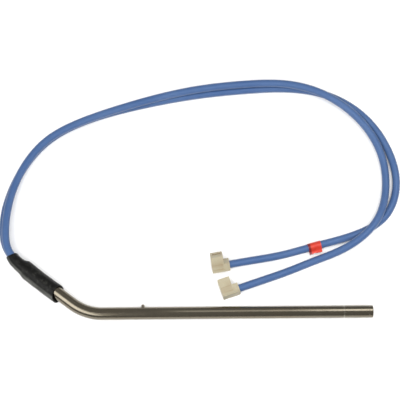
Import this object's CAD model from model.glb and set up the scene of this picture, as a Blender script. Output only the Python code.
import math

import bmesh
import bpy
from mathutils import Matrix, Vector, noise


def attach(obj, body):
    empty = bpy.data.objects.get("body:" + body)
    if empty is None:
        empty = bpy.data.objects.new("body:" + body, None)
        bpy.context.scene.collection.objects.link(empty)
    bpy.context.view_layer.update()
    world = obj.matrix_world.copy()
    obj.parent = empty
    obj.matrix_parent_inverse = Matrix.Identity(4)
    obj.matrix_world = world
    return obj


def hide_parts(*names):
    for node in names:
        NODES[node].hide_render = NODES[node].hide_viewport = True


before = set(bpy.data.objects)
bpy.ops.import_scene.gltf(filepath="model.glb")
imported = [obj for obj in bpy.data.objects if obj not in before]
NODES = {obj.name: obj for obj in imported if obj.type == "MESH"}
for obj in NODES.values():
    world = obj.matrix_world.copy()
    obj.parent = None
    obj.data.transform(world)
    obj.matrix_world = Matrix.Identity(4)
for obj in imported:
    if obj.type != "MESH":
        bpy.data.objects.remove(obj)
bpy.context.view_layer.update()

MM = 0.001               # shapes are worked out in mm; camera, lights and textures are in metres
UP = Vector((0, 0, 1))


# ---------------------------------------------------------------- camera

CAMERA_TARGET = Vector((-0.13717, 0.09323, 0.0))
CAMERA_DISTANCE = 1.1
CAMERA_ELEVATION = math.radians(75.0)
CAMERA_AZIMUTH = math.radians(-0.482)
CAMERA_LENS = 121.32


def make_camera():
    """A long lens looking down at the object, with +X to the right."""
    flat = math.cos(CAMERA_ELEVATION)
    right = Vector((math.cos(CAMERA_AZIMUTH), math.sin(CAMERA_AZIMUTH), 0.0))
    back = Vector((
        math.sin(CAMERA_AZIMUTH) * flat,
        -math.cos(CAMERA_AZIMUTH) * flat,
        math.sin(CAMERA_ELEVATION),
    ))
    turn = Matrix((right, back.cross(right), back)).transposed().to_4x4()
    data = bpy.data.cameras.new("camera")
    data.lens = CAMERA_LENS
    data.sensor_width = 36.0
    data.clip_start = 0.05
    data.clip_end = 20.0
    cam = bpy.data.objects.new("camera", data)
    cam.matrix_world = Matrix.Translation(CAMERA_TARGET + back * CAMERA_DISTANCE) @ turn
    bpy.context.collection.objects.link(cam)
    bpy.context.scene.camera = cam


make_camera()


# ---------------------------------------------------------------- mesh helpers

def new_mesh(name, verts, faces, flow, sharp=35.0):
    """An object from points in mm. flow is each point's place along and round it, kept as a UV map."""
    mesh = bpy.data.meshes.new(name)
    mesh.from_pydata([tuple(c * MM for c in v) for v in verts], [], faces)
    layer = mesh.uv_layers.new(name="flow")
    for poly in mesh.polygons:
        rounds = [flow[mesh.loops[i].vertex_index][1] for i in poly.loop_indices]
        wraps = max(rounds) - min(rounds) > 0.5
        for i in poly.loop_indices:
            along, around = flow[mesh.loops[i].vertex_index]
            layer.data[i].uv = (along, around + (1.0 if wraps and around < 0.5 else 0.0))
    mesh.validate()
    mesh.shade_smooth()
    mesh.set_sharp_from_angle(angle=math.radians(sharp))
    obj = bpy.data.objects.new(name, mesh)
    bpy.context.collection.objects.link(obj)
    return obj


def skin(rings, closed=False):
    """Faces through rings of equal size. An open run gets a cap at each end, a closed one joins up."""
    n = len(rings[0])
    m = len(rings)
    verts = [p for ring in rings for p in ring]
    faces = []
    for i in range(m if closed else m - 1):
        j = (i + 1) % m
        for k in range(n):
            after = (k + 1) % n
            faces.append((i * n + k, i * n + after, j * n + after, j * n + k))
    if not closed:
        faces.append(tuple(range(n - 1, -1, -1)))
        faces.append(tuple(range((m - 1) * n, m * n)))
    return verts, faces


def reversed_rings(rings):
    return [list(reversed(ring)) for ring in rings]


def ring_flow(stations, sides):
    return [(s * MM, k / sides) for s in stations for k in range(sides)]


def turn_of(k, sides):
    return 2 * math.pi * k / sides


# ---------------------------------------------------------------- the two leads

LIE = -1.9               # height of a lead's centre where it lies on the surface
ROUTE_A = [
    (-277.5, 36, 2.5), (-288.5, 45, 4), (-295.6, 56, 4), (-297.4, 74, 3), (-294, 96, 0),
    (-284, 121, LIE), (-264, 147, LIE), (-233, 163, LIE), (-200, 172.5, LIE), (-166, 180, LIE),
    (-132, 185.5, LIE), (-98, 188.5, LIE), (-64, 190.5, LIE), (-30, 185.5, LIE), (0, 167, LIE),
    (19, 138.5, LIE), (27, 106, LIE), (16, 75, LIE), (-14, 61.5, -1.6), (-44, 54.5, -1.2),
    (-71, 46.5, -1.6), (-94.5, 42.5, 0.6), (-106.5, 40.5, 0.6), (-118.5, 38.5, 0.6),
]
ROUTE_B = [
    (-277.5, 35.5, 9), (-287.5, 44, 10.5), (-293.5, 54, 10.5), (-294.2, 73, 9.6), (-291.6, 95, 6.6),
    (-283, 120, 4.6), (-264, 146, 4.6), (-233, 161, 4.6), (-200, 172, 4.6), (-166, 182, 4.4),
    (-132, 189, 3.6), (-98, 192, 3.8), (-64, 193, 4.4), (-32, 183.5, 5), (-4, 162, 3.5),
    (13, 135, 1), (17, 106, LIE), (9, 72, 6.5), (-18, 50.5, 4.5), (-42, 43.5, LIE),
    (-66, 33.5, LIE), (-87, 26, 0.8), (-99, 22, 0.8), (-111, 18, 0.8),
]
LEAD_D = 6.2
LEAD_SIDES = 24
LEAD_STEPS = 13          # rings for each span of the route
LEAD_START_U = 0.8       # the part of the route that the boot hides is left out of the visible lead
LEAD_WAVE = 0.022        # how far the skin waves in and out
LEAD_INSET = 0.012       # keeps the waves inside the CAD's radius
WAVE_ALONG = 0.045       # waves for each mm of lead
WAVE_AROUND = 0.8
END_ROUNDING = (0.10, 0.03, 0.0)     # share of the radius lost at the first rings from each end


def spline(route, u):
    """Place and heading on the uniform cubic B-spline that a route's points guide, as in the CAD."""
    p = [Vector(q) for q in route]
    p = [2 * p[0] - p[1]] + p + [2 * p[-1] - p[-2]]
    i = min(int(u), len(route) - 2)
    t = u - i
    weights = (
        (1 - t) ** 3 / 6,
        (3 * t ** 3 - 6 * t ** 2 + 4) / 6,
        (1 + 3 * t + 3 * t ** 2 - 3 * t ** 3) / 6,
        t ** 3 / 6,
    )
    slopes = (-(1 - t) ** 2 / 2, (3 * t ** 2 - 4 * t) / 2, (1 + 2 * t - 3 * t ** 2) / 2, t ** 2 / 2)
    place = sum((weights[k] * p[i + k] for k in range(4)), Vector((0, 0, 0)))
    heading = sum((slopes[k] * p[i + k] for k in range(4)), Vector((0, 0, 0))).normalized()
    return place, heading


def make_lead(name, route):
    """One smooth tube, with the faint waviness of extruded silicone and a softly rounded cut end."""
    last = len(route) - 1
    steps = LEAD_STEPS * last
    path, rings, stations = [], [], []
    run = 0.0
    for i in range(steps + 1):
        u = LEAD_START_U + (last - LEAD_START_U) * i / steps
        place, heading = spline(route, u)
        if path:
            run += (place - path[-1]).length
        path.append(place)
        side = heading.cross(UP).normalized()
        up = side.cross(heading)
        from_end = min(i, steps - i)
        r = LEAD_D / 2 * (1.0 - END_ROUNDING[min(from_end, 2)])
        ring = []
        for k in range(LEAD_SIDES):
            a = turn_of(k, LEAD_SIDES)
            c, q = math.cos(a), math.sin(a)
            at = Vector((run * WAVE_ALONG, c * WAVE_AROUND, q * WAVE_AROUND + len(name)))
            reach = r + LEAD_WAVE * noise.noise(at) - LEAD_INSET
            ring.append(place + reach * (c * side - q * up))
        rings.append(ring)
        stations.append(run)
    verts, faces = skin(reversed_rings(rings))
    obj = new_mesh(name, verts, faces, ring_flow(stations, LEAD_SIDES), sharp=50)
    return obj, path, run


lead_a, path_a, run_a = make_lead("lead_a_jacket", ROUTE_A)
lead_b, path_b, run_b = make_lead("lead_b_jacket", ROUTE_B)


# ---------------------------------------------------------------- sheath, tip plug and stud

ROLL = Matrix.Rotation(math.radians(9.0), 3, "X")    # the plane of the bend, as the part lies
STRAIGHT = 216.0
BEND_R = 40.0
BEND_ANGLE = math.atan2(3, 4)
BEND_LEN = BEND_R * BEND_ANGLE
BEND_STEPS = 28
LEG_LEN = 32.5
FULL_LEN = STRAIGHT + BEND_LEN + LEG_LEN
BEND_END = Vector((-STRAIGHT - BEND_R * math.sin(BEND_ANGLE), BEND_R * (1 - math.cos(BEND_ANGLE)), 0))
LEG_X = Vector((-math.cos(BEND_ANGLE), math.sin(BEND_ANGLE), 0))
LEG_Y = Vector((-math.sin(BEND_ANGLE), -math.cos(BEND_ANGLE), 0))
SHEATH_R = 5.0
BORE_R = SHEATH_R - 0.7
SHEATH_SIDES = 64
# Distance behind the tip, and radius
TIP_ROUNDING = [(0.0, BORE_R + 0.2), (0.0, 4.72), (0.1, 4.88), (0.3, 4.98), (0.5, SHEATH_R)]
TIP_LINE = [(2.8, SHEATH_R), (2.9, 4.93), (3.1, 4.93), (3.2, SHEATH_R)]
TURNED_RING = [
    (22.66, SHEATH_R), (22.72, 4.84), (22.82, 4.8), (23.18, 4.8), (23.28, 4.84), (23.34, SHEATH_R),
]
PLUG_PROFILE = [
    (2.3, 4.28), (0.95, 4.28), (0.6, 4.22), (0.42, 4.05), (0.38, 3.85), (0.46, 3.62), (0.55, 3.5),
    (0.5, 3.1), (0.58, 2.0), (0.64, 0.9), (0.66, 0.25),
]
WELD_ROWS = (2, 3, 4, 5)     # the rows of PLUG_PROFILE that ripple
WELD_BEADS = 17
STUD_AT = 183.5
# Height above the sheath's axis, and radius. The first rows are the weld, which follows the sheath.
STUD_PROFILE = [
    (4.75, 2.2), (4.98, 2.05), (5.12, 1.72), (5.3, 1.4), (5.55, 1.24), (5.8, 1.2), (6.6, 1.2),
    (6.8, 1.12), (6.93, 0.93), (6.99, 0.6), (7.0, 0.2),
]
STUD_WELD_ROWS = 4
STUD_SIDES = 32


def on_sheath(s):
    """Centre and two cross directions of the sheath, s mm behind the tip face."""
    if s <= STRAIGHT:
        p, t = Vector((-s, 0, 0)), Vector((-1, 0, 0))
    elif s <= STRAIGHT + BEND_LEN:
        a = (s - STRAIGHT) / BEND_R
        p = Vector((-STRAIGHT - BEND_R * math.sin(a), BEND_R * (1 - math.cos(a)), 0))
        t = Vector((-math.cos(a), math.sin(a), 0))
    else:
        p, t = BEND_END + (s - STRAIGHT - BEND_LEN) * LEG_X, LEG_X
    return ROLL @ p, ROLL @ UP, ROLL @ t.cross(UP)


def on_leg(s, y, z):
    """A point of the leg's own frame, in the object's frame. The leg starts where the bend ends."""
    return ROLL @ (BEND_END + s * LEG_X + y * LEG_Y + z * UP)


def turned(profile):
    """A ring round the sheath's line for each station and radius of a profile."""
    rings = []
    for s, r in profile:
        c, a, b = on_sheath(s)
        turns = [turn_of(k, SHEATH_SIDES) for k in range(SHEATH_SIDES)]
        rings.append([c + r * (math.cos(t) * a + math.sin(t) * b) for t in turns])
    return rings


def make_sheath():
    """The whole tube, with its rolled tip, a fine line behind it and the turned ring further back."""
    bend = [STRAIGHT + BEND_LEN * i / BEND_STEPS for i in range(BEND_STEPS + 1)]
    outer = TIP_ROUNDING + TIP_LINE + TURNED_RING
    outer += [(s, SHEATH_R) for s in range(30, 216, 6)]
    outer += [(s, SHEATH_R) for s in bend]
    outer += [(STRAIGHT + BEND_LEN + LEG_LEN * f, SHEATH_R) for f in (0.25, 0.5, 0.75)]
    outer += [(FULL_LEN - 0.3, SHEATH_R), (FULL_LEN, 4.8)]
    inner = [(FULL_LEN, BORE_R + 0.2), (FULL_LEN - 0.2, BORE_R)]
    inner += [(s, BORE_R) for s in reversed(bend)]
    inner += [(108.0, BORE_R), (3.0, BORE_R), (0.2, BORE_R)]
    profile = outer + inner
    verts, faces = skin(reversed_rings(turned(profile)), closed=True)
    flow = [(s * MM, 1 - k / SHEATH_SIDES) for s, _ in profile for k in range(SHEATH_SIDES)]
    return new_mesh("sheath", verts, faces, flow, sharp=32)


def make_tip_plug():
    """The disc let into the tip, slightly dished, with the weld that runs round it."""
    rings = turned(PLUG_PROFILE)
    for i in WELD_ROWS:
        for k in range(SHEATH_SIDES):
            beads = math.sin(2 * math.pi * k * WELD_BEADS / SHEATH_SIDES)
            ripple = 0.07 * beads + 0.05 * noise.noise(Vector((k * 0.7, i, 0)))
            rings[i][k] = rings[i][k] + Vector((ripple, 0, 0))
    verts, faces = skin(rings)
    flow = ring_flow([s for s, _ in PLUG_PROFILE], SHEATH_SIDES)
    return new_mesh("tip_plug", verts, faces, flow, sharp=60)


def make_stud():
    """A short round stud with a domed end, standing in its weld."""
    axis = ROLL @ Vector((0, 1, 0))
    side = Vector((1, 0, 0))
    other = axis.cross(side)
    foot = Vector((-STUD_AT, 0, 0))
    rings = []
    for i, (h, r) in enumerate(STUD_PROFILE):
        ring = []
        for k in range(STUD_SIDES):
            a = turn_of(k, STUD_SIDES)
            c, q = math.cos(a), math.sin(a)
            rough = drop = 0.0
            if i < STUD_WELD_ROWS:
                rough = 0.1 * noise.noise(Vector((c * 1.7, q * 1.7, h)))
                drop = SHEATH_R - math.sqrt(SHEATH_R ** 2 - (r * q) ** 2)
            ring.append(foot + (h - drop) * axis + (r + rough) * (c * side + q * other))
        rings.append(ring)
    verts, faces = skin(reversed_rings(rings))
    flow = ring_flow([h for h, _ in STUD_PROFILE], STUD_SIDES)
    return new_mesh("stud", verts, faces, flow, sharp=60)


sheath = make_sheath()
tip_plug = make_tip_plug()
stud = make_stud()


# ---------------------------------------------------------------- boot

BOOT_START = 13.8
BOOT_SIDES = 72
# Station on the leg, y, half width, half height, turn in degrees, lean, rake
BOOT_SECTIONS = [
    (BOOT_START, 0.6, 7.1, 7.1, 0, 0.2, 0.5),
    (BOOT_START + 1.4, 0.6, 7.18, 7.15, 0, 0.17, 0.43),
    (BOOT_START + 6.0, 0.65, 7.12, 7.12, 0, 0.1, 0.25),
    (LEG_LEN - 1.0, 0.7, 7.02, 7.15, 0, 0, 0),
    (44.0, 0.3, 7.15, 7.3, 0, 0.1, 0),
    (46.5, 0.15, 7.05, 7.35, 0, 0.22, 0),
    (49.6, 0.25, 5.75, 7.35, 0, 0.25, 0),
    (53.0, 0.1, 5.35, 7.3, 3, 0, 0),
    (57.0, -0.35, 5.15, 7.25, 10, 0, 0),
    (60.0, -1.15, 4.85, 7.2, 20, 0, 0),
    (61.7, -1.9, 4.75, 7.1, 27, 0, 0),
    (62.3, -2.3, 4.3, 6.7, 30, 0, 0),
]
# The inside of the mouth, from the sheath out to the lip
MOUTH_SECTIONS = [
    (BOOT_START + 11.0, 0.0, 5.03, 5.03, 0, 0, 0.1),
    (BOOT_START + 6.0, 0.2, 5.35, 5.35, 0, 0.08, 0.25),
    (BOOT_START + 2.0, 0.5, 6.1, 6.1, 0, 0.17, 0.42),
    (BOOT_START + 0.3, 0.6, 6.4, 6.4, 0, 0.2, 0.5),
    (BOOT_START - 0.1, 0.6, 6.75, 6.75, 0, 0.2, 0.5),
]
MOUTH_FLOW_SHIFT = 14    # the mouth's place on the flow map, kept clear of the outside's
# The flat end's lip, folded in: how far it is past the last section on the flow map, and how far back
END_FOLDS = ((0.5, -0.15), (0.9, 0.2), (1.2, 1.2), (1.4, 2.4))
# Long ridges: place round the boot in degrees, width, height, and how fast each winds round it
RIDGES = (
    (62, 8, 0.15, 0.2), (84, 6, -0.1, 0.1), (104, 7, 0.1, -0.1), (128, 8, -0.08, 0.25),
    (205, 9, -0.12, 0.2), (262, 7, 0.1, 0.1), (300, 9, -0.08, 0.2), (20, 9, -0.1, 0.3),
)


def boot_relief(s, a):
    """Height of the ridges and of the uneven surface at a station and a turn."""
    c, q = math.cos(a), math.sin(a)
    relief = 0.0
    for centre, width, height, wind in RIDGES:
        d = (math.degrees(a) - centre - (s - 40) * wind + 180) % 360 - 180
        relief += height * math.exp(-(d / width) ** 2) * min(1.0, max(0.0, (s - BOOT_START) / 5))
    broad = 0.14 * noise.noise(Vector((s * 0.16, c * 1.3, q * 1.3)))
    close = 0.05 * noise.noise(Vector((s * 0.6, c * 4, q * 4)))
    return relief + (broad + close - 0.08)


def boot_point(row, k, shrink=0.0, ridged=True):
    s, y, w, h, turn, lean, rake = row
    a = turn_of(k, BOOT_SIDES)
    c, q = math.cos(a), math.sin(a)
    extra = (boot_relief(s, a) if ridged else 0.0) - shrink
    across = (w + extra) * q
    high = (w + extra) * c + (h - w) * max(-1.0, min(1.0, 2.5 * c))
    yaw = math.radians(turn)
    along = s + across * (math.sin(yaw) - lean) + high * rake
    return on_leg(along, y + across * math.cos(yaw), high)


def between(rows, step=0.6):
    """Rows run straight from section to section, with the corners rounded off."""
    out = []
    for first, second in zip(rows, rows[1:]):
        n = max(2, round((second[0] - first[0]) / step))
        out += [tuple(b + (c - b) * j / n for b, c in zip(first, second)) for j in range(n)]
    out.append(rows[-1])
    middle = [
        tuple((a + 2 * b + c) / 4 for a, b, c in zip(*neighbours))
        for neighbours in zip(out, out[1:], out[2:])
    ]
    return [out[0]] + middle + [out[-1]]


def make_boot():
    """Black shrink tube: a loose slanted mouth round the sheath, a wide barrel, and a flattened end."""
    rings, stations = [], []
    for row in MOUTH_SECTIONS:
        rings.append([boot_point(row, k, ridged=False) for k in range(BOOT_SIDES)])
        stations.append(row[0] - MOUTH_FLOW_SHIFT)
    for row in between(BOOT_SECTIONS):
        rings.append([boot_point(row, k) for k in range(BOOT_SIDES)])
        stations.append(row[0])
    end = BOOT_SECTIONS[-1]
    for inset, back in END_FOLDS:
        row = (end[0] - back, end[1] + back * 0.5) + end[2:]
        rings.append([boot_point(row, k, shrink=inset * 0.6) for k in range(BOOT_SIDES)])
        stations.append(end[0] + inset)
    verts, faces = skin(rings)
    return new_mesh("boot_skin", verts, faces, ring_flow(stations, BOOT_SIDES), sharp=55)


boot = make_boot()


# ---------------------------------------------------------------- marker tape

MARKER_U = 19.05         # where the tape's middle is on lead a's route
TAPE_R = LEAD_D / 2 + 0.18
TAPE_T = 0.36
TAPE_HALF_LEN = 5.3
TAPE_ROWS = 23
TAPE_LIFT = 0.05
WRAP_START = 62          # degrees from the flag, round the lead
WRAP_TURN = 236
WRAP_STEPS = 26
FLAG_TOP = [(5.9, 0.27), (5.0, 0.3), (4.2, 0.45), (3.3, 0.95), (2.45, 1.9)]     # distance out, height
FLAG_ROOT = 2.6          # the waves grow from here to the flag's tip
FLAG_LEN = 3.3


def tape_line():
    """The tape's section: the flag's top, round the lead, and the flag's underside."""
    turns = [math.radians(WRAP_START + WRAP_TURN * i / WRAP_STEPS) for i in range(WRAP_STEPS + 1)]
    wrap = [(TAPE_R * math.cos(a), TAPE_R * math.sin(a)) for a in turns]
    return FLAG_TOP + wrap + [(x, -h) for x, h in reversed(FLAG_TOP)]


def tape_faces(m):
    """Both sides of the tape and its four edges. The inner side's points follow the outer side's."""
    base = TAPE_ROWS * m
    faces = []
    for i in range(TAPE_ROWS - 1):
        for j in range(m - 1):
            a, b, c, d = i * m + j, i * m + j + 1, (i + 1) * m + j + 1, (i + 1) * m + j
            faces.append((a, b, c, d))
            faces.append((base + d, base + c, base + b, base + a))
        for j, step in ((0, 1), (m - 1, -1)):
            quad = (i * m + j, (i + 1) * m + j, base + (i + 1) * m + j, base + i * m + j)
            faces.append(quad[::step])
    for i, step in ((0, 1), (TAPE_ROWS - 1, -1)):
        for j in range(m - 1):
            quad = (i * m + j, i * m + j + 1, base + i * m + j + 1, base + i * m + j)
            faces.append(quad[::step])
    return faces


def make_marker():
    """Vinyl tape folded round lead a, its two ends pressed into a flag that points to -Y."""
    place, heading = spline(ROUTE_A, MARKER_U)
    flat = Vector((heading.x, heading.y, 0)).normalized()
    out = Vector((-flat.y, flat.x, 0))
    if out.y > 0:
        out = -out
    line = tape_line()
    m = len(line)
    outer, inner = [], []
    for i in range(TAPE_ROWS):
        f = i / (TAPE_ROWS - 1)
        x = (f * 2 - 1) * TAPE_HALF_LEN
        for j, (d, h) in enumerate(line):
            before, after = line[max(j - 1, 0)], line[min(j + 1, m - 1)]
            n = Vector((after[1] - before[1], before[0] - after[0])).normalized()
            reach = max(0.0, (d - FLAG_ROOT) / FLAG_LEN)
            wave = reach * (0.3 * math.sin(f * 7.3 + 0.6) + 0.12 * math.sin(f * 19))
            lift = reach * 0.32 * math.sin(f * 5.1 + 2.2) + 0.3 * reach
            crease = 0.05 * noise.noise(Vector((f * 6, j * 0.35, 1.7)))
            skew = 0.35 * reach
            for points, thick in ((outer, TAPE_T / 2), (inner, -TAPE_T / 2)):
                far = d + wave - n.x * (thick + crease)
                high = h + lift - n.y * (thick + crease) + TAPE_LIFT
                points.append(place + flat * (x + skew) + out * far + UP * high)
    flow = [(i * 0.5 * MM, j / m * 0.9) for i in range(TAPE_ROWS) for j in range(m)] * 2
    obj = new_mesh("marker_tape", outer + inner, tape_faces(m), flow, sharp=50)
    bm = bmesh.new()
    bm.from_mesh(obj.data)
    bmesh.ops.recalc_face_normals(bm, faces=bm.faces)
    bm.to_mesh(obj.data)
    bm.free()
    return obj


marker = make_marker()


# ---------------------------------------------------------------- shader helpers

def material(name):
    mat = bpy.data.materials.new(name)
    mat.use_nodes = True
    tree = mat.node_tree
    return mat, tree, tree.nodes["Principled BSDF"]


def put(node, **inputs):
    for key, value in inputs.items():
        node.inputs[key.replace("_", " ")].default_value = value


def add(tree, kind, **inputs):
    node = tree.nodes.new(kind)
    put(node, **inputs)
    return node


def ramp(tree, source, stops):
    node = tree.nodes.new("ShaderNodeValToRGB")
    els = node.color_ramp.elements
    while len(els) < len(stops):
        els.new(0.5)
    for el, (pos, colour) in zip(els, stops):
        el.position = pos
        el.color = tuple(colour) + (1,)
    tree.links.new(source, node.inputs["Fac"])
    return node.outputs["Color"]


def grey(value):
    return (value, value, value)


def fade(tree, source, start, stop, low=0.0, high=1.0):
    """A grey that goes from low to high as the source goes from start to stop."""
    return ramp(tree, source, [(start, grey(low)), (stop, grey(high))])


def flow_coords(tree, along, around):
    """The piece's own flow map: along is in cells a metre, and around in cells a turn."""
    uv = tree.nodes.new("ShaderNodeUVMap")
    uv.uv_map = "flow"
    mapping = add(tree, "ShaderNodeMapping", Scale=(along, around, 1.0))
    tree.links.new(uv.outputs["UV"], mapping.inputs["Vector"])
    return mapping.outputs["Vector"]


def flow_axis(tree, axis, along=1.0):
    """One coordinate of the flow map: X along the piece, Y round it."""
    parts = tree.nodes.new("ShaderNodeSeparateXYZ")
    tree.links.new(flow_coords(tree, along, 1.0), parts.inputs["Vector"])
    return parts.outputs[axis]


def object_coords(tree, scale):
    coords = tree.nodes.new("ShaderNodeTexCoord")
    mapping = add(tree, "ShaderNodeMapping", Scale=scale)
    tree.links.new(coords.outputs["Object"], mapping.inputs["Vector"])
    return mapping.outputs["Vector"]


def noise_at(tree, vector, detail=3.0, roughness=0.55, scale=1.0):
    node = add(tree, "ShaderNodeTexNoise", Scale=scale, Detail=detail, Roughness=roughness)
    tree.links.new(vector, node.inputs["Vector"])
    return node.outputs["Fac"]


def grain_at(tree, scale, detail):
    """Noise of the same size every way, in cells a metre."""
    return noise_at(tree, object_coords(tree, (scale, scale, scale)), detail)


def mix_colour(tree, fac, a, b, mode="MIX"):
    node = tree.nodes.new("ShaderNodeMix")
    node.data_type = "RGBA"
    node.blend_type = mode
    for socket, value in ((node.inputs[0], fac), (node.inputs[6], a), (node.inputs[7], b)):
        if hasattr(value, "links"):
            tree.links.new(value, socket)
        elif socket.type == "RGBA":
            socket.default_value = tuple(value) + (1,)
        else:
            socket.default_value = value
    return node.outputs[2]


def bump(tree, shader, height, strength, distance, under=None):
    node = add(tree, "ShaderNodeBump", Strength=strength, Distance=distance)
    tree.links.new(height, node.inputs["Height"])
    if under is not None:
        tree.links.new(under, node.inputs["Normal"])
    tree.links.new(node.outputs["Normal"], shader.inputs["Normal"])
    return node.outputs["Normal"]


def pointiness(tree):
    return tree.nodes.new("ShaderNodeNewGeometry").outputs["Pointiness"]


def finish_with(tree, shader, colour, roughness):
    tree.links.new(colour, shader.inputs["Base Color"])
    tree.links.new(roughness, shader.inputs["Roughness"])


# ---------------------------------------------------------------- materials

def steel_material(name, base, warm, dark, rough, drawn=True):
    """Stainless: cloudy heat tint, small scratches and smudges, and fine lines along a drawn tube."""
    mat, tree, shader = material(name)
    cloud = noise_at(tree, object_coords(tree, (22, 60, 60)), 4.0, scale=1.6)
    tint = mix_colour(tree, fade(tree, cloud, 0.35, 0.68), base, warm)
    surface = flow_coords(tree, 9.0, 130.0) if drawn else object_coords(tree, (900, 900, 900))
    fine = noise_at(tree, surface, 5.0, 0.65)
    streaked = mix_colour(tree, fade(tree, fine, 0.3, 0.7), tint, dark)
    body = mix_colour(tree, 0.12, tint, streaked)
    colour = mix_colour(tree, fade(tree, pointiness(tree), 0.52, 0.62), body, (0.62, 0.59, 0.53))
    if drawn:
        # The turned ring, about 23 mm behind the tip, is brighter metal
        stops = [(0.446, grey(0)), (0.454, grey(1)), (0.466, grey(1)), (0.474, grey(0))]
        ring = ramp(tree, flow_axis(tree, "X", along=20.0), stops)
        colour = mix_colour(tree, ring, colour, (0.27, 0.25, 0.205))
    smudge = noise_at(tree, object_coords(tree, (70, 190, 190)), 5.0)
    finish_with(tree, shader, colour, fade(tree, smudge, 0.3, 0.7, rough - 0.03, rough + 0.05))
    put(shader, Metallic=1.0)
    n = bump(tree, shader, fine, 0.02, 0.00002)
    bump(tree, shader, grain_at(tree, 700, 2.0), 0.01, 0.00001, n)
    return mat


def silicone_material():
    """Blue silicone rubber: satin, lightly dusty, with faint lines from the extruder."""
    mat, tree, shader = material("blue_silicone")
    cloud = fade(tree, grain_at(tree, 40, 4.0), 0.35, 0.65)
    blue = mix_colour(tree, cloud, (0.039, 0.087, 0.210), (0.052, 0.104, 0.230))
    dust = noise_at(tree, flow_coords(tree, 60.0, 14.0), 6.0, 0.7)
    dusty = mix_colour(tree, fade(tree, dust, 0.55, 0.8, high=0.35), blue, (0.125, 0.168, 0.265))
    finish_with(tree, shader, dusty, fade(tree, dust, 0.3, 0.75, 0.38, 0.56))
    put(shader, Sheen_Weight=0.12, Sheen_Roughness=0.4, IOR=1.43)
    lines = noise_at(tree, flow_coords(tree, 16.0, 46.0))
    n = bump(tree, shader, lines, 0.12, 0.00006)
    bump(tree, shader, grain_at(tree, 2600, 2.0), 0.06, 0.00003, n)
    return mat


def boot_material():
    """Black shrink tube: satin, blotched and rippled, scuffed on its ridges, with one rubbed side."""
    mat, tree, shader = material("black_shrink_tube")
    scuff = noise_at(tree, flow_coords(tree, 90.0, 26.0), 6.0, 0.7)
    ridges = fade(tree, pointiness(tree), 0.5, 0.57)
    marks = mix_colour(tree, 0.5, fade(tree, scuff, 0.52, 0.8, high=0.5), ridges)
    scuffed = mix_colour(tree, marks, (0.0035, 0.0035, 0.0031), (0.016, 0.016, 0.0145))
    blotch = fade(tree, noise_at(tree, flow_coords(tree, 260.0, 13.0), 4.0, 0.6), 0.52, 0.7, high=0.5)
    body = mix_colour(tree, blotch, scuffed, (0.040, 0.040, 0.035))
    # The rubbed side faces -Y. It fades out at both of its edges.
    side = ramp(tree, flow_axis(tree, "Y"), [
        (0.075, grey(0)), (0.115, grey(0.9)), (0.2, grey(1)), (0.30, grey(0.6)), (0.34, grey(0)),
    ])
    rubbed = mix_colour(tree, 1.0, side, fade(tree, scuff, 0.36, 0.62, low=0.35), "MULTIPLY")
    colour = mix_colour(tree, rubbed, body, (0.098, 0.100, 0.092))
    finish_with(tree, shader, colour, fade(tree, scuff, 0.3, 0.75, 0.4, 0.54))
    put(shader, IOR=1.26)
    n = bump(tree, shader, noise_at(tree, flow_coords(tree, 420.0, 5.0)), 0.8, 0.00022)
    n = bump(tree, shader, noise_at(tree, flow_coords(tree, 22.0, 44.0), 4.0), 0.6, 0.0002, n)
    bump(tree, shader, grain_at(tree, 1900, 2.0), 0.08, 0.00004, n)
    return mat


def nylon_material():
    """Natural nylon: slightly translucent ivory, fine moulded grain, grime in the corners."""
    mat, tree, shader = material("ivory_nylon")
    cloud = fade(tree, grain_at(tree, 150, 4.0), 0.35, 0.65)
    body = mix_colour(tree, cloud, (0.315, 0.255, 0.165), (0.285, 0.228, 0.144))
    corners = fade(tree, pointiness(tree), 0.42, 0.49, low=1.0, high=0.0)
    dirty = mix_colour(tree, corners, body, (0.20, 0.16, 0.095))
    colour = mix_colour(tree, fade(tree, pointiness(tree), 0.52, 0.6), dirty, (0.38, 0.34, 0.24))
    finish_with(tree, shader, colour, fade(tree, grain_at(tree, 500, 3.0), 0.3, 0.7, 0.42, 0.56))
    put(shader, Subsurface_Weight=0.12, Subsurface_Radius=(0.0012, 0.0009, 0.0005),
        Subsurface_Scale=1.0, IOR=1.5)
    bump(tree, shader, grain_at(tree, 2200, 2.0), 0.12, 0.00004)
    return mat


def tape_material():
    """Red vinyl: a soft gloss, pressed creases, paler patches and a darker overlap at one end."""
    mat, tree, shader = material("red_tape")
    cloud = noise_at(tree, flow_coords(tree, 260.0, 9.0), 4.0)
    red = mix_colour(tree, fade(tree, cloud, 0.38, 0.68), (0.46, 0.023, 0.010), (0.53, 0.042, 0.020))
    edged = mix_colour(tree, fade(tree, pointiness(tree), 0.53, 0.65), red, (0.50, 0.10, 0.06))
    overlap = fade(tree, flow_axis(tree, "X", along=91.0), 0.80, 0.84)
    colour = mix_colour(tree, overlap, edged, (0.14, 0.006, 0.007))
    finish_with(tree, shader, colour, fade(tree, cloud, 0.3, 0.7, 0.28, 0.42))
    put(shader, IOR=1.52)
    bump(tree, shader, noise_at(tree, flow_coords(tree, 420.0, 16.0)), 0.3, 0.0001)
    return mat


def plain_material(name, light, dark, rough, metallic, scale, strength):
    """Fired ceramic, sleeves, wire and tinned sheet: two close tones, uneven polish and a fine grain."""
    mat, tree, shader = material(name)
    cloud = grain_at(tree, scale, 4.0)
    body = mix_colour(tree, fade(tree, cloud, 0.32, 0.68), light, dark)
    worn = tuple(min(1.0, c * 1.3) for c in light)
    colour = mix_colour(tree, fade(tree, pointiness(tree), 0.53, 0.63), body, worn)
    finish_with(tree, shader, colour, fade(tree, cloud, 0.3, 0.7, rough - 0.06, rough + 0.06))
    put(shader, Metallic=metallic)
    bump(tree, shader, grain_at(tree, scale * 9, 3.0), strength, 0.00004)
    return mat


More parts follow.
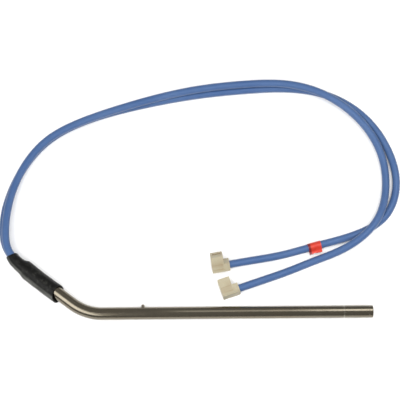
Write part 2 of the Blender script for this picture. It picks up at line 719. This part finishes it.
def paint(obj, mat):
    obj.data.materials.clear()
    obj.data.materials.append(mat)


STEEL = steel_material(
    "drawn_stainless", (0.178, 0.160, 0.124), (0.182, 0.158, 0.118), (0.13, 0.114, 0.086),
    rough=0.19)
STEEL_PLUG = steel_material(
    "welded_stainless", (0.22, 0.20, 0.165), (0.19, 0.16, 0.125), (0.13, 0.112, 0.088),
    rough=0.34, drawn=False)
SILICONE = silicone_material()
BOOT = boot_material()
IVORY = nylon_material()
TAPE = tape_material()
CERAMIC = plain_material("fired_ceramic", (0.80, 0.77, 0.70), (0.70, 0.66, 0.58), 0.62, 0.0, 300, 0.2)
WIRE = plain_material("nickel_alloy_wire", (0.50, 0.47, 0.42), (0.36, 0.33, 0.29), 0.34, 1.0, 400, 0.1)
TINNED = plain_material("tinned_brass", (0.66, 0.60, 0.46), (0.52, 0.45, 0.30), 0.3, 1.0, 500, 0.1)
STRAND = plain_material("tinned_strand", (0.62, 0.50, 0.34), (0.50, 0.36, 0.22), 0.36, 1.0, 800, 0.3)
SLEEVE = plain_material("inner_sleeve", (0.62, 0.60, 0.54), (0.52, 0.50, 0.44), 0.5, 0.0, 350, 0.15)


# ---------------------------------------------------------------- pieces, bodies and cords

for piece, mat, slot, replaced in (
    (sheath, STEEL, "stainless", "sheath_tube"),
    (tip_plug, STEEL_PLUG, "stainless", "end_disc"),
    (stud, STEEL_PLUG, "stainless", "locating_stud"),
    (boot, BOOT, "shrink_boot", "boot"),
    (marker, TAPE, "marker_tape", "marker"),
    (lead_a, SILICONE, "silicone", "lead_a"),
    (lead_b, SILICONE, "silicone", "lead_b"),
):
    paint(piece, mat)
    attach(piece, "element")
    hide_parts(replaced)

MOULDED = ["housing_a", "housing_b", "cover_a", "cover_b"]
CAD_MATERIALS = {
    CERAMIC: ["ceramic_core", "magnesia_fill", "end_bushing"],
    WIRE: ["heating_coil", "pin_a", "pin_b", "splice_a", "splice_b"],
    SLEEVE: ["splice_sleeve_a", "splice_sleeve_b"],
    STRAND: ["conductor_a", "conductor_b"],
    TINNED: ["receptacle_a", "receptacle_b"],
    IVORY: MOULDED,
}
for mat, names in CAD_MATERIALS.items():
    for name in names:
        paint(NODES[name], mat)

for name in MOULDED:
    soft = NODES[name].modifiers.new("soft edges", "BEVEL")
    soft.width = 0.22 * MM
    soft.segments = 2
    soft.limit_method = "ANGLE"
    soft.angle_limit = math.radians(40)
    soft.use_clamp_overlap = True

print("lead lengths in mm", round(run_a, 1), round(run_b, 1))


# ---------------------------------------------------------------- floor and light

FLOOR_HALF = 3.0
FLOOR_Z = -5.02 * MM
MIDDLE = (-0.137, 0.09, 0.0)         # what the key light points at


def make_floor():
    mesh = bpy.data.meshes.new("floor")
    corners = ((-1, -1), (1, -1), (1, 1), (-1, 1))
    mesh.from_pydata([(x * FLOOR_HALF, y * FLOOR_HALF, FLOOR_Z) for x, y in corners], [], [(0, 1, 2, 3)])
    floor = bpy.data.objects.new("floor", mesh)
    bpy.context.collection.objects.link(floor)
    mat, tree, shader = material("pale_floor")
    tone = mix_colour(tree, grain_at(tree, 3, 3.0), grey(0.93), grey(0.95))
    tree.links.new(tone, shader.inputs["Base Color"])
    put(shader, Roughness=0.9, Specular_IOR_Level=0.1)
    mesh.materials.append(mat)


def area_light(name, place, target, size, watts, glossy=True, size_y=None):
    """A soft rectangle of light that faces its target, or straight down where it has none."""
    data = bpy.data.lights.new(name, "AREA")
    data.energy = watts
    data.shape = "RECTANGLE"
    data.size = size
    data.size_y = size_y or size
    light = bpy.data.objects.new(name, data)
    turn = Matrix.Identity(4)
    if target is not None:
        turn = (Vector(target) - Vector(place)).to_track_quat("-Z", "Y").to_matrix().to_4x4()
    light.matrix_world = Matrix.Translation(Vector(place)) @ turn
    light.visible_glossy = glossy
    bpy.context.collection.objects.link(light)
    return light


def reflection_card(name, place, size, size_y, watts):
    """A small light seen only in shiny surfaces."""
    card = area_light(name, place, None, size, watts, size_y=size_y)
    card.visible_diffuse = False
    card.visible_camera = False


def make_world():
    """Soft room light, a touch dimmer from the front."""
    world = bpy.data.worlds.new("studio")
    bpy.context.scene.world = world
    world.use_nodes = True
    tree = world.node_tree
    coords = tree.nodes.new("ShaderNodeTexCoord")
    parts = tree.nodes.new("ShaderNodeSeparateXYZ")
    tree.links.new(coords.outputs["Generated"], parts.inputs["Vector"])
    place = add(tree, "ShaderNodeMapRange", From_Min=-1.0)
    tree.links.new(parts.outputs["Y"], place.inputs["Value"])
    room = ramp(tree, place.outputs["Result"], [(0.1, (0.93, 0.92, 0.895)), (0.45, (1.0, 0.985, 0.965))])
    back = tree.nodes["Background"]
    tree.links.new(room, back.inputs["Color"])
    put(back, Strength=0.43)


make_floor()
make_world()
area_light("key_soft", (-0.137, -0.38, 1.6), MIDDLE, 1.8, 36.0, glossy=False)
area_light("fill_right", (0.52, 0.28, 1.3), (0.52, 0.0, 0.0), 0.80, 4.0, glossy=False, size_y=0.28)
reflection_card("card_right", (0.115, 0.118, 0.30), 0.28, 0.18, 0.58)
reflection_card("card_middle", (-0.1025, 0.0575, 0.15), 0.115, 0.08, 0.028)
reflection_card("card_left", (-0.3875, -0.165, 0.30), 0.265, 0.33, 1.03)
area_light("fill_left", (-0.755, -0.56, 1.3), None, 0.77, 6.0, glossy=False, size_y=0.96)
bpy.context.scene.view_settings.view_transform = "Standard"
